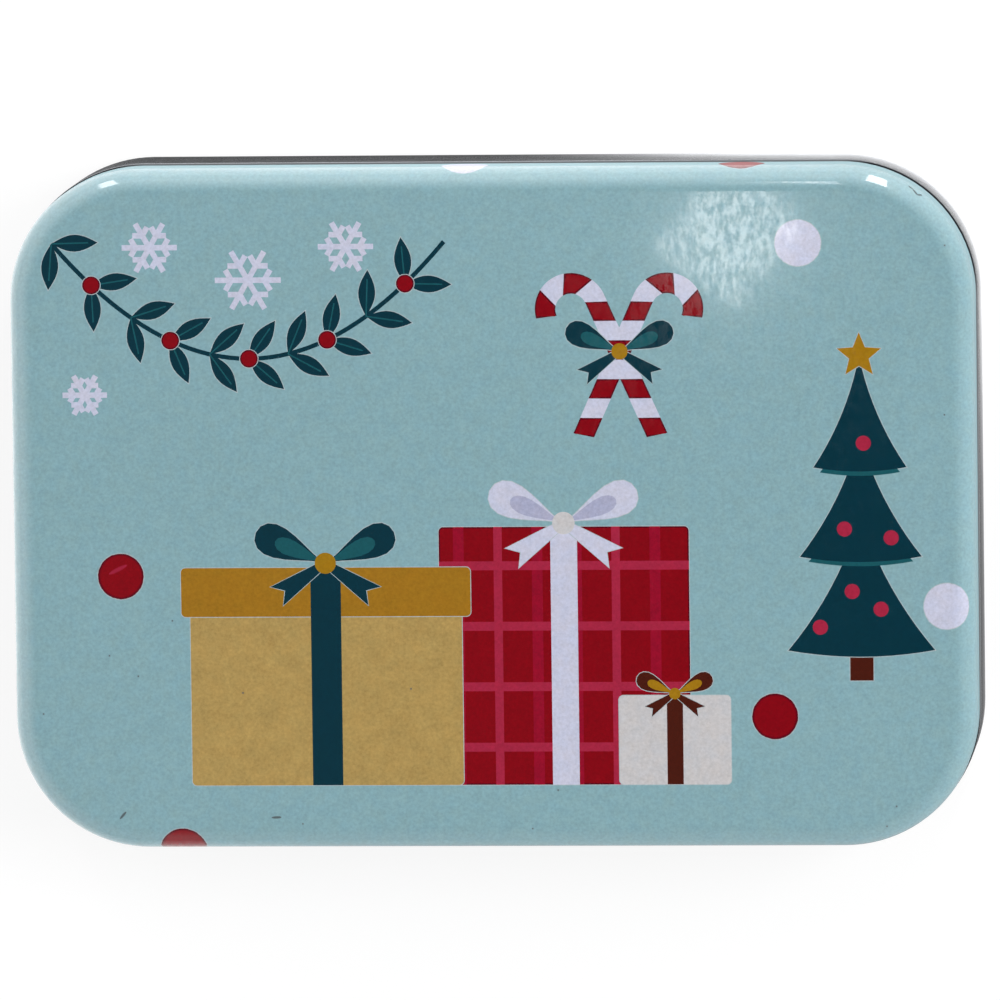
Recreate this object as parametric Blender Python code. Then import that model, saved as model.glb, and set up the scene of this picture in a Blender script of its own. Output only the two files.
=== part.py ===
"""Slip-lid tin for gift cards, drawn from tinplate with a printed lid.

Two pieces: a stepped base, and a lid that seats over its neck and lifts straight off.
Lengths are in metres. The origin is the middle of the base's underside, +Z is up and
the long side lies along X. Each piece is one sheet: a flat blank, with the print already
on it for the lid, drawn to a section and given the gauge of the sheet.
"""

import math

import bmesh
import bpy
from mathutils import Matrix, Vector
from mathutils.geometry import delaunay_2d_cdt

MM = 0.001

# Tin
OUTER_LENGTH = 108.0 * MM
OUTER_WIDTH = 76.5 * MM
CORNER_RADIUS = 15.0 * MM  # of the base's wall, in plan
SHEET = 0.25 * MM  # gauge of the tinplate

# Base
SHOULDER_HEIGHT = 11.7 * MM
FOOT_RADIUS = 1.5 * MM  # edge between the underside and the wall
SHOULDER_RADIUS = 0.3 * MM
NECK_ROOT_RADIUS = 0.25 * MM
RIM_RADIUS = 0.6 * MM  # of the inward curl round the neck's mouth
RIM_TURN = 250.0  # degrees from the neck's face to the curl's end

# Lid
LID_DEPTH = 7.0 * MM
LID_INSET = 0.15 * MM  # of its skirt from the base's wall, which leaves a narrow ledge in view
ROLL_RADIUS = 2.6 * MM  # edge between the panel and the skirt
HEM_RADIUS = 0.6 * MM  # of the inward curl along the skirt's lower edge
HEM_TURN = 250.0  # degrees from the skirt's face to the curl's end

# Fits between lid and base
SEAT_GAP = 0.3 * MM  # hem above shoulder
NECK_CLEARANCE = 0.3 * MM  # hem round neck
RIM_CLEARANCE = 0.5 * MM  # rim inside the lid's panel and rolled edge

# What follows from them
LID_SEAT = SHOULDER_HEIGHT + SEAT_GAP
CLOSED_HEIGHT = LID_SEAT + LID_DEPTH
NECK_INSET = LID_INSET + 2.0 * HEM_RADIUS + NECK_CLEARANCE
CORE_X = OUTER_LENGTH / 2.0 - CORNER_RADIUS
CORE_Y = OUTER_WIDTH / 2.0 - CORNER_RADIUS

# Fineness of the mesh
CORNER_STEPS = 8  # to a quarter circle in plan
EDGE_STEPS = 5  # round the lid's rolled edge
FOOT_STEPS = 4
SMALL_STEPS = 2  # round the shoulder and the neck's root
CURL_STEPS = 6
ROUND_STEPS = 14  # to a printed dot
LEAF_STEPS = 3  # to each side of a leaf
WELD = 0.001 * MM
SHARP_ANGLE = 40.0  # degrees

# Inks of the print, as seen colours from 0 to 255
INKS = {
    "aqua": (133, 168, 176),
    "red": (131, 2, 17),
    "wine": (146, 10, 40),
    "rose": (164, 36, 60),
    "white": (196, 197, 217),
    "tan": (173, 145, 86),
    "ochre": (157, 112, 28),
    "brown": (70, 22, 12),
    "teal": (4, 49, 62),
    "cream": (195, 193, 197),
    "gold": (146, 105, 9),
}
INK_NAMES = list(INKS)
INK_ROUGHNESS = 0.22
TINPLATE = (176, 178, 182)
TINPLATE_ROUGHNESS = 0.3

# Size of the lid that the print is drawn for, in the print's own units
ART_LENGTH = 108.0
ART_WIDTH = 76.0
LID_LENGTH = OUTER_LENGTH - 2.0 * LID_INSET
LID_WIDTH = OUTER_WIDTH - 2.0 * LID_INSET
ART_SCALE = min(LID_LENGTH / ART_LENGTH, LID_WIDTH / ART_WIDTH)

# Polka dots, some of which run over the rolled edge
DOT_RADIUS = 2.57
RED_DOTS = ((-41.5, -7.6), (31.4, -23.5), (-34.8, -38.45), (28.2, 40.6))
WHITE_DOTS = ((34.6, 29.2), (50.6, -11.3), (-2.7, 40.1))

# Snowflakes: x, y and radius
SNOWFLAKES = ((-38.0, 29.5, 3.1), (-27.0, 25.8, 3.7), (-16.0, 29.5, 3.1), (-45.5, 13.0, 2.5))
ARM_WIDTH = 0.75
BRANCH_REACH = 0.36  # as a share of the flake's radius
BRANCH_START = 0.5

# Garland: a hanging string with pairs of leaves and a berry between them
GARLAND_LEFT = -49.0
GARLAND_RIGHT = -5.0
GARLAND_TOP = 30.0
GARLAND_SAG = 13.0
STRING_WIDTH = 0.5
STRING_STEPS = 10
SPRIG_LENGTH = 5.2
SPRIG_WIDTH = 1.9
SPRIG_LEAN = 48.0  # degrees from the string
BERRY_RADIUS = 1.0

# Canes, crossed under a bow: x and y of the foot, lean from upright in degrees, side of the hook
CANES = ((10.3, 8.0, -24.0, 1), (18.7, 8.0, 24.0, -1))
CANE_LENGTH = 17.0
CANE_WIDTH = 2.3
CANE_HOOK = 2.9  # radius of the hook
CANE_BANDS = 5  # along the stem, and as many round the hook
CANE_BOW = (14.5, 17.6, 6.5)  # x, y and size

# Fir tree
TREE_MIDDLE = 41.2
TREE_FOOT = -16.0
TREE_TIERS = ((0.0, 8.2, 15.0), (10.5, 6.8, 13.5), (20.5, 5.2, 12.5))  # height, half width, rise
TRUNK_WIDTH = 2.6
TRUNK_HEIGHT = 3.4
STAR_RADIUS = 2.6
STAR_WAIST = 1.15
STAR_POINTS = 5
BAUBLES = ((-4.6, 2.6), (2.2, 4.6), (-1.8, 13.6), (3.4, 12.6), (0.4, 23.2), (-1.0, 6.6))
BAUBLE_RADIUS = 0.85

# Presents, which stand on one line: left, width, height, width of the ribbon and size of its bow
GROUND_LINE = -31.0
PLAID_BOX = (-6.0, 28.0, 29.0, 3.0, 9.0)
TAN_BOX = (-34.0, 30.5, 24.5, 3.4, 8.5)
CREAM_BOX = (14.0, 12.5, 10.0, 1.8, 4.6)
UPRIGHT_PITCH = 4.4  # of the plaid's stripes
UPRIGHT_STRIPE = 0.95
STRONG_EVERY = 3  # one in so many upright stripes is strong, the rest are faint
LEVEL_PITCH = 6.8
LEVEL_STRIPE = 1.0
BAND_HEIGHT = 5.5  # of the tan box's lid
BAND_OVERHANG = 1.0
BOW_LOOPS = ((24.0, 1.0), (156.0, 1.0), (-32.0, 0.75), (212.0, 0.75))  # angle, share of the size
BOW_WAIST = 0.42  # a loop's width, as a share of its length
BOW_LIFT = 0.4  # of the knot over the box's top edge
KNOT_SIZE = 0.14


class Bend:
    """One bend of a section about its centre. Angles are in degrees, 0 out of the tin and 90 up."""

    def __init__(self, inset, height, radius, start, end, steps):
        self.inset = inset
        self.height = height
        self.radius = radius
        self.start = math.radians(start)
        self.end = math.radians(end)
        self.steps = steps
        self.length = radius * abs(self.end - self.start)

    def point(self, share):
        """Inset from the outline and height, a share of the way round."""
        angle = self.start + (self.end - self.start) * share
        inset = self.inset - self.radius * math.cos(angle)
        return Vector((inset, self.height + self.radius * math.sin(angle)))


class Run:
    """A straight stretch of a section between two bends."""

    steps = 1

    def __init__(self, first, last):
        self.first = first
        self.last = last
        self.length = (last - first).length

    def point(self, share):
        """Inset from the outline and height, a share of the way along."""
        return self.first.lerp(self.last, share)


class Section:
    """A drawn sheet's outer face, from the edge of its flat panel to its free edge."""

    def __init__(self, bends):
        self.stretches = [bends[0]]
        for bend in bends[1:]:
            self.stretches.append(Run(self.stretches[-1].point(1.0), bend.point(0.0)))
            self.stretches.append(bend)
        self.panel_inset, self.panel_height = bends[0].point(0.0)

    def stations(self):
        """Distances from the panel's edge at which the mesh has a ring of points."""
        distances = [0.0]
        for stretch in self.stretches:
            step = stretch.length / stretch.steps
            distances += [distances[-1] + step * (i + 1) for i in range(stretch.steps)]
        return distances

    def at(self, distance):
        """Inset and height, this far along the sheet from the panel's edge."""
        for stretch in self.stretches:
            if distance <= stretch.length:
                return stretch.point(distance / stretch.length)
            distance -= stretch.length
        return self.stretches[-1].point(1.0)

    def form(self, point):
        """Where a point of the flat blank lies once the sheet is drawn."""
        core = Vector((max(-CORE_X, min(CORE_X, point.x)), max(-CORE_Y, min(CORE_Y, point.y))))
        reach = point - core
        distance = reach.length - (CORNER_RADIUS - self.panel_inset)
        if distance <= 0.0:
            return Vector((point.x, point.y, self.panel_height))
        inset, height = self.at(distance)
        drawn = core + reach.normalized() * (CORNER_RADIUS - inset)
        return Vector((drawn.x, drawn.y, height))


def rounded_ring(corner_radius):
    """Corners and arcs of a rounded rectangle about the core, anticlockwise."""
    ring = []
    for quarter, (side_x, side_y) in enumerate(((1, 1), (-1, 1), (-1, -1), (1, -1))):
        for step in range(CORNER_STEPS + 1):
            angle = math.radians(90.0 * (quarter + step / CORNER_STEPS))
            out = Vector((math.cos(angle), math.sin(angle))) * corner_radius
            ring.append(Vector((side_x * CORE_X, side_y * CORE_Y)) + out)
    return ring


def drawn_sheet(name, section, fields, faces_down):
    """The mesh of a blank drawn to its section. Each field is an outline and its ink."""
    points = []
    faces = []
    edges = []
    panel_radius = CORNER_RADIUS - section.panel_inset
    for distance in reversed(section.stations()):
        ring = rounded_ring(panel_radius + distance)
        numbers = [len(points) + i for i in range(len(ring))]
        points += ring
        if faces:
            edges += list(zip(numbers, numbers[1:] + numbers[:1]))
        else:
            faces.append(numbers)
    for outline, _ in fields:
        faces.append([len(points) + i for i in range(len(outline))])
        points += outline
    triangles_inside = 1
    flat, _, triangles, _, _, sources = delaunay_2d_cdt(points, edges, faces, triangles_inside, WELD)

    mesh = bpy.data.meshes.new(name)
    shape = bmesh.new()
    vertices = [shape.verts.new(section.form(point)) for point in flat]
    for triangle, covers in zip(triangles, sources):
        if 0 not in covers:
            continue
        corners = [vertices[i] for i in triangle]
        face = shape.faces.new(reversed(corners) if faces_down else corners)
        top = max(covers)
        face.material_index = INK_NAMES.index(fields[top - 1][1]) if top else 0
    loose = [vertex for vertex in shape.verts if not vertex.link_faces]
    bmesh.ops.delete(shape, geom=loose, context="VERTS")
    shape.to_mesh(mesh)
    shape.free()
    return mesh


def linear(colour):
    """A seen colour from 0 to 255 as linear values from 0 to 1."""
    shares = [value / 255.0 for value in colour]
    return [s / 12.92 if s <= 0.04045 else ((s + 0.055) / 1.055) ** 2.4 for s in shares]


def finish(name, colour, roughness, metallic):
    """A Principled material of one plain colour."""
    material = bpy.data.materials.new(name)
    material.use_nodes = True
    shader = material.node_tree.nodes["Principled BSDF"]
    shader.inputs["Base Color"].default_value = (*linear(colour), 1.0)
    shader.inputs["Roughness"].default_value = roughness
    shader.inputs["Metallic"].default_value = metallic
    material.diffuse_color = (*linear(colour), 1.0)
    return material


def sheet_object(name, mesh, materials, parent, height):
    """The mesh as an object with the sheet's gauge, inside its drawn face."""
    for material in materials:
        mesh.materials.append(material)
    mesh.shade_smooth()
    mesh.set_sharp_from_angle(angle=math.radians(SHARP_ANGLE))
    piece = bpy.data.objects.new(name, mesh)
    bpy.context.scene.collection.objects.link(piece)
    piece.parent = parent
    piece.location = (0.0, 0.0, height)
    gauge = piece.modifiers.new("Gauge", "SOLIDIFY")
    gauge.thickness = SHEET
    gauge.offset = -1.0
    gauge.use_even_offset = True
    gauge.use_quality_normals = True
    gauge.material_offset = len(materials) - 1
    gauge.material_offset_rim = len(materials) - 1
    return piece


# Shapes of the print, in its own units, each an outline that runs anticlockwise


def circle(x, y, radius):
    """A round spot."""
    turns = [2.0 * math.pi * i / ROUND_STEPS for i in range(ROUND_STEPS)]
    return [Vector((x + radius * math.cos(a), y + radius * math.sin(a))) for a in turns]


def box(left, bottom, width, height):
    """An upright rectangle."""
    corners = ((0.0, 0.0), (width, 0.0), (width, height), (0.0, height))
    return [Vector((left + x, bottom + y)) for x, y in corners]


def bar(first, last, width):
    """A straight stroke with square ends."""
    first = Vector(first)
    last = Vector(last)
    side = (last - first).orthogonal().normalized() * width / 2.0
    return [first - side, last - side, last + side, first + side]


def leaf(x, y, angle, length, width):
    """A pointed leaf that grows from a place at an angle in degrees."""
    along = Vector((math.cos(math.radians(angle)), math.sin(math.radians(angle))))
    across = along.orthogonal() * width / 2.0
    shares = [i / LEAF_STEPS for i in range(LEAF_STEPS)]
    root = Vector((x, y))
    right = [root + along * length * s - across * math.sin(math.pi * s) for s in shares]
    left = [root + along * length * (1 - s) + across * math.sin(math.pi * s) for s in shares]
    return right + left


def star(x, y, radius, waist, points):
    """A star with its first point up."""
    outline = []
    for i in range(2 * points):
        angle = math.pi / 2.0 + math.pi * i / points
        reach = radius if i % 2 == 0 else waist
        outline.append(Vector((x + reach * math.cos(angle), y + reach * math.sin(angle))))
    return outline


# Motifs of the print, each a list of outlines with their inks, lowest first


def bow(x, y, size, ink, knot_ink):
    """A ribbon's bow: two loops, two tails and the knot."""
    shapes = [(leaf(x, y, angle, size * share, size * share * BOW_WAIST), ink) for angle, share in BOW_LOOPS]
    return shapes + [(circle(x, y, size * KNOT_SIZE), knot_ink)]


def present(place, paper, ribbon, knot_ink, trim):
    """A wrapped box with its trim, a ribbon up its middle and a bow on top."""
    left, width, height, ribbon_width, bow_size = place
    middle = left + width / 2.0
    shapes = [(box(left, GROUND_LINE, width, height), paper), *trim]
    shapes.append((box(middle - ribbon_width / 2.0, GROUND_LINE, ribbon_width, height), ribbon))
    return shapes + bow(middle, GROUND_LINE + height + BOW_LIFT, bow_size, ribbon, knot_ink)


def plaid(place):
    """Stripes both ways over a wrapped box, the first ones half a pitch from its edges."""
    left, width, height, _, _ = place
    shapes = []
    for i in range(int(width / UPRIGHT_PITCH)):
        start = left + UPRIGHT_PITCH * (i + 0.5) - UPRIGHT_STRIPE / 2.0
        ink = "rose" if i % STRONG_EVERY == 1 else "wine"
        shapes.append((box(start, GROUND_LINE, UPRIGHT_STRIPE, height), ink))
    for i in range(int(height / LEVEL_PITCH)):
        start = GROUND_LINE + LEVEL_PITCH * (i + 0.5)
        shapes.append((box(left, start, width, LEVEL_STRIPE), "rose"))
    return shapes


def band(place):
    """The lid of a box, which stands out over both its sides."""
    left, width, height, _, _ = place
    start = GROUND_LINE + height - BAND_HEIGHT
    return [(box(left - BAND_OVERHANG, start, width + 2.0 * BAND_OVERHANG, BAND_HEIGHT), "ochre")]


def fir_tree(x, foot):
    """A tree of three tiers, with baubles and a star."""
    shapes = [(box(x - TRUNK_WIDTH / 2.0, foot - TRUNK_HEIGHT, TRUNK_WIDTH, TRUNK_HEIGHT), "brown")]
    for height, half, rise in TREE_TIERS:
        corners = ((x - half, foot + height), (x + half, foot + height), (x, foot + height + rise))
        shapes.append(([Vector(corner) for corner in corners], "teal"))
    top = foot + TREE_TIERS[-1][0] + TREE_TIERS[-1][2]
    shapes += [(circle(x + dx, foot + dy, BAUBLE_RADIUS), "rose") for dx, dy in BAUBLES]
    return shapes + [(star(x, top, STAR_RADIUS, STAR_WAIST, STAR_POINTS), "gold")]


def snowflake(x, y, radius):
    """Three strokes that cross, with a pair of branches near each of their ends."""
    centre = Vector((x, y))
    shapes = []
    for arm in range(6):
        along = Vector((math.cos(math.pi * arm / 3.0), math.sin(math.pi * arm / 3.0)))
        if arm < 3:
            shapes.append((bar(centre - along * radius, centre + along * radius, ARM_WIDTH), "white"))
        for lean in (-1, 1):
            turn = math.pi * (arm + lean) / 3.0
            branch = Vector((math.cos(turn), math.sin(turn))) * radius * BRANCH_REACH
            start = centre + along * radius * BRANCH_START
            shapes.append((bar(start, start + branch, ARM_WIDTH), "white"))
    return shapes


def cane(x, y, lean, side):
    """A striped stick that leans from upright by an angle in degrees, its hook to side 1 or -1."""
    line = [Vector((0.0, CANE_LENGTH * i / CANE_BANDS)) for i in range(CANE_BANDS)]
    for i in range(CANE_BANDS + 1):
        angle = math.pi * (1.0 - i / CANE_BANDS)
        arc = Vector((1.0 + math.cos(angle), math.sin(angle))) * CANE_HOOK
        line.append(arc + Vector((0.0, CANE_LENGTH)))
    line = [Vector((point.x * side, point.y)) for point in line]
    turn = Matrix.Rotation(math.radians(lean), 2)
    edges = []
    for i, point in enumerate(line):
        along = line[min(i + 1, len(line) - 1)] - line[max(i - 1, 0)]
        across = along.orthogonal().normalized() * CANE_WIDTH / 2.0
        edges.append([turn @ corner + Vector((x, y)) for corner in (point - across, point + across)])
    shapes = []
    for i, (near, far) in enumerate(zip(edges, edges[1:])):
        shapes.append(([near[0], far[0], far[1], near[1]], "white" if i % 2 else "red"))
    return shapes


def garland():
    """The string in straight steps, then its leaves and berries."""

    def hang(share):
        x = GARLAND_LEFT + (GARLAND_RIGHT - GARLAND_LEFT) * share
        return Vector((x, GARLAND_TOP - GARLAND_SAG * 4.0 * share * (1.0 - share)))

    knots = [hang(i / STRING_STEPS) for i in range(STRING_STEPS + 1)]
    shapes = [(bar(first, last, STRING_WIDTH), "teal") for first, last in zip(knots, knots[1:])]
    for first, last in zip(knots, knots[1:]):
        heading = math.degrees(math.atan2(last.y - first.y, last.x - first.x))
        for lean in (-SPRIG_LEAN, SPRIG_LEAN):
            shapes.append((leaf(first.x, first.y, heading + lean, SPRIG_LENGTH, SPRIG_WIDTH), "teal"))
    berries = knots[1:-1:2]
    return shapes + [(circle(knot.x, knot.y, BERRY_RADIUS), "red") for knot in berries]


def lid_print():
    """The whole print, lowest first, in metres from the lid's middle."""
    shapes = [(circle(x, y, DOT_RADIUS), "red") for x, y in RED_DOTS]
    shapes += [(circle(x, y, DOT_RADIUS), "white") for x, y in WHITE_DOTS]
    shapes += garland()
    for flake in SNOWFLAKES:
        shapes += snowflake(*flake)
    for stick in CANES:
        shapes += cane(*stick)
    shapes += bow(*CANE_BOW, "teal", "gold")
    shapes += fir_tree(TREE_MIDDLE, TREE_FOOT)
    shapes += present(PLAID_BOX, "red", "white", "cream", plaid(PLAID_BOX))
    shapes += present(TAN_BOX, "tan", "teal", "gold", band(TAN_BOX))
    shapes += present(CREAM_BOX, "cream", "brown", "gold", [])
    return [([point * ART_SCALE for point in outline], ink) for outline, ink in shapes]


# Sections of the two pieces


def lid_section():
    """Panel, rolled edge, skirt and hem, with height 0 at the hem's lowest line."""
    roll_inset = LID_INSET + ROLL_RADIUS
    roll = Bend(roll_inset, LID_DEPTH - ROLL_RADIUS, ROLL_RADIUS, 90.0, 0.0, EDGE_STEPS)
    hem = Bend(LID_INSET + HEM_RADIUS, HEM_RADIUS, HEM_RADIUS, 0.0, -HEM_TURN, CURL_STEPS)
    return Section([roll, hem])


def rim_height():
    """Height of the rim curl's centre, which keeps its clearance to the lid's panel and rolled edge."""
    outside_roll = LID_INSET + ROLL_RADIUS - NECK_INSET - RIM_RADIUS
    if outside_roll <= 0.0:
        return CLOSED_HEIGHT - SHEET - RIM_CLEARANCE - RIM_RADIUS
    reach = ROLL_RADIUS - SHEET - RIM_CLEARANCE - RIM_RADIUS
    return CLOSED_HEIGHT - ROLL_RADIUS + math.sqrt(max(0.0, reach**2 - outside_roll**2))


def base_section():
    """Underside, foot, wall, shoulder, neck and the curled rim, from the ground up."""
    foot = Bend(FOOT_RADIUS, FOOT_RADIUS, FOOT_RADIUS, -90.0, 0.0, FOOT_STEPS)
    edge_height = SHOULDER_HEIGHT - SHOULDER_RADIUS
    shoulder = Bend(SHOULDER_RADIUS, edge_height, SHOULDER_RADIUS, 0.0, 90.0, SMALL_STEPS)
    root_inset = NECK_INSET - NECK_ROOT_RADIUS
    root_height = SHOULDER_HEIGHT + NECK_ROOT_RADIUS
    root = Bend(root_inset, root_height, NECK_ROOT_RADIUS, -90.0, -180.0, SMALL_STEPS)
    rim = Bend(NECK_INSET + RIM_RADIUS, rim_height(), RIM_RADIUS, 0.0, RIM_TURN, CURL_STEPS)
    return Section([foot, shoulder, root, rim])


def build():
    """Clear the scene and make the tin, closed, with its underside at height 0."""
    for old in list(bpy.data.objects):
        bpy.data.objects.remove(old)
    tin = bpy.data.objects.new("tin", None)
    bpy.context.scene.collection.objects.link(tin)
    bare = finish("tinplate", TINPLATE, TINPLATE_ROUGHNESS, 1.0)
    inks = [finish(ink, INKS[ink], INK_ROUGHNESS, 0.0) for ink in INK_NAMES]

    base_mesh = drawn_sheet("base", base_section(), [], faces_down=True)
    sheet_object("base", base_mesh, [bare], tin, 0.0)
    lid_mesh = drawn_sheet("lid", lid_section(), lid_print(), faces_down=False)
    sheet_object("lid", lid_mesh, inks + [bare], tin, LID_SEAT)


if __name__ == "__main__":
    build()
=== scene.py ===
"""Gift card tin: the finished look of its drawn base and printed lid, and the studio round it.

Lengths are in metres. The tin's own sizes come from the parts in model.glb where they give them. The
print is drawn in millimetres from the lid's middle, as it lay on the flat sheet.
"""

import math

import bmesh
import bpy
from mathutils import Matrix, Vector
from mathutils.geometry import delaunay_2d_cdt


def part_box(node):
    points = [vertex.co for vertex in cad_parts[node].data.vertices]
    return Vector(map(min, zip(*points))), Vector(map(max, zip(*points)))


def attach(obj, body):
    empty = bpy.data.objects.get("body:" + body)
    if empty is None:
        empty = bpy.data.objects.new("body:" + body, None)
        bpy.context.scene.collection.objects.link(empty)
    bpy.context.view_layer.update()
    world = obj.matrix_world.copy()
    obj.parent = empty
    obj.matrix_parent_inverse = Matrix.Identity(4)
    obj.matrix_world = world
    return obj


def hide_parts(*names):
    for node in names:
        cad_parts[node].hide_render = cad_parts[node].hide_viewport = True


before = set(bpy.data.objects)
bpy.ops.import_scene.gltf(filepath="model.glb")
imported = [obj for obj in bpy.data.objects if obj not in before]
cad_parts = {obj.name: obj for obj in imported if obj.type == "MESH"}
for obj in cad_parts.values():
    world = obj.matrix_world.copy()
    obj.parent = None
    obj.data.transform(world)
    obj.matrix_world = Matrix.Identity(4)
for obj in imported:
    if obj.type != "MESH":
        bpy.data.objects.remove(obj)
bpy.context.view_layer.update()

BASE_LOW, BASE_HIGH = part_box("base")
LID_LOW, LID_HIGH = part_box("lid")

bl_info = {
    "name": "Gift card tin",
    "version": (1, 0, 0),
    "blender": (4, 5, 0),
    "location": "3D View > Sidebar > Tin",
    "description": "Slip-lid tin for gift cards, with a printed lid",
    "category": "Object",
}

MM = 0.001
WELD = 0.001 * MM
SHARP_ANGLE = math.radians(40.0)
CURL_TURN = 250.0  # degrees that the rim and the hem are curled by
LENGTH_DIGITS = 5  # after the point, in the sidebar

# Fineness of the meshes, in steps to a bend
CORNER_STEPS = 24
ROLL_STEPS = 14
FOOT_STEPS = 8
SMALL_STEPS = 4
CURL_STEPS = 16
HOLD = 0.2 * MM  # from a bend to the ring that keeps the flat beside it flat


def length(name, description, default):
    """A length that a user can set."""
    return bpy.props.FloatProperty(
        name=name, description=description, default=default, unit="LENGTH", precision=LENGTH_DIGITS
    )


def light(name, description, default):
    """A level of light that a user can set."""
    return bpy.props.FloatProperty(name=name, description=description, default=default)


def ink(name, description, seen):
    """An ink's seen colour, given from 0 to 255."""
    shares = [value / 255.0 for value in seen]
    return bpy.props.FloatVectorProperty(
        name=name, description=description, default=shares, size=3, min=0.0, max=1.0, subtype="COLOR_GAMMA"
    )


class TinSizes(bpy.types.PropertyGroup):
    """Sizes of the two drawn sheets."""

    outer_length: length("Length", "Outside of the base, along X", BASE_HIGH.x - BASE_LOW.x)
    outer_width: length("Width", "Outside of the base, along Y", BASE_HIGH.y - BASE_LOW.y)
    corner: length("Corner radius", "Of the base's wall, in plan", 15.0 * MM)
    sheet: length("Sheet", "Gauge of the tinplate", 0.25 * MM)
    foot: length("Foot radius", "Edge between the underside and the wall", 1.5 * MM)
    shoulder_height: length("Shoulder height", "Of the ledge that the lid stands over", 11.7 * MM)
    shoulder: length("Shoulder radius", "Edge between the base's wall and its ledge", 0.3 * MM)
    neck_inset: length("Neck inset", "From the base's wall to its neck", 1.65 * MM)
    neck_root: length("Neck root radius", "Bend between the ledge and the neck", 0.25 * MM)
    rim: length("Rim radius", "Of the curl round the neck's mouth", 0.6 * MM)
    closed_height: length("Closed height", "From the underside to the lid's panel", LID_HIGH.z)
    lid_inset: length("Lid's inset", "From the base's wall to the lid's skirt", BASE_HIGH.x - LID_HIGH.x)
    lid_seat: length("Lid's seat", "Height of the hem's lowest line", LID_LOW.z)
    roll: length("Rolled edge radius", "Edge between the lid's panel and its skirt", 2.6 * MM)
    hem: length("Hem radius", "Of the curl along the skirt's lower edge", 0.6 * MM)


class PrintInks(bpy.types.PropertyGroup):
    """Colours of the lid's print, as they are seen."""

    ground: ink("Ground", "Aqua ground", (133, 169, 177))
    red: ink("Red", "Polka dots, canes and wrapping", (131, 2, 17))
    dark_red: ink("Dark red", "Where red overlaps the ground's edge", (92, 0, 22))
    rose: ink("Rose", "Stripes and baubles", (163, 36, 64))
    faint_rose: ink("Faint rose", "Stripes between the main ones", (146, 10, 40))
    white: ink("White", "Dots, snowflakes and ribbon", (196, 198, 218))
    shade: ink("Shade", "Folds of the white ribbon", (168, 170, 196))
    tan: ink("Tan", "Wrapping paper", (173, 145, 86))
    ochre: ink("Ochre", "Lid of the tan box", (157, 112, 28))
    brown: ink("Brown", "Trunk and narrow ribbon", (72, 24, 13))
    teal: ink("Teal", "Tree, leaves and ribbon", (4, 49, 62))
    light_teal: ink("Light teal", "Folds and veins", (24, 84, 92))
    cream: ink("Cream", "Small wrapped box", (196, 194, 196))
    gold: ink("Gold", "Star and knots", (158, 116, 18))
    pale: ink("Bare edge", "Unprinted line beside a colour", (170, 184, 188))


class StudioSettings(bpy.types.PropertyGroup):
    """The stage round the tin."""

    camera_height: length("Camera height", "Above the surface that the tin stands on", 1.5)
    lamps: light("Lamps", "Level of all lamps", 1.0)
    dome: light("Dome", "Level of the soft light at eye level", 1.9)
    room: light("Room", "What gloss mirrors at eye level", 0.4)
    window: light("Window", "What the far side adds to it", 1.05)
    left_fill: light("Left fill", "What the left adds to it", 0.75)


class Wire:
    """A value that varies over a finish. Sums on it add Math nodes."""

    def __init__(self, finish, socket):
        self.finish = finish
        self.socket = socket

    def __add__(self, other):
        return self.finish.maths("ADD", self, other)

    def __radd__(self, other):
        return self.finish.maths("ADD", other, self)

    def __sub__(self, other):
        return self.finish.maths("SUBTRACT", self, other)

    def __rsub__(self, other):
        return self.finish.maths("SUBTRACT", other, self)

    def __mul__(self, other):
        return self.finish.maths("MULTIPLY", self, other)

    def __rmul__(self, other):
        return self.finish.maths("MULTIPLY", other, self)

    def __truediv__(self, other):
        return self.finish.maths("DIVIDE", self, other)

    def least(self, other):
        return self.finish.maths("MINIMUM", self, other)

    def most(self, other):
        return self.finish.maths("MAXIMUM", self, other)

    def within(self):
        """Kept between 0 and 1."""
        return self.least(1.0).most(0.0)

    def below(self, limit, softness):
        """1 where the value is under the limit and 0 over it, with a soft step between."""
        return ((limit - self) / softness + 0.5).within()


RAY_KINDS = ("Camera", "Glossy", "Transmission")


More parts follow.
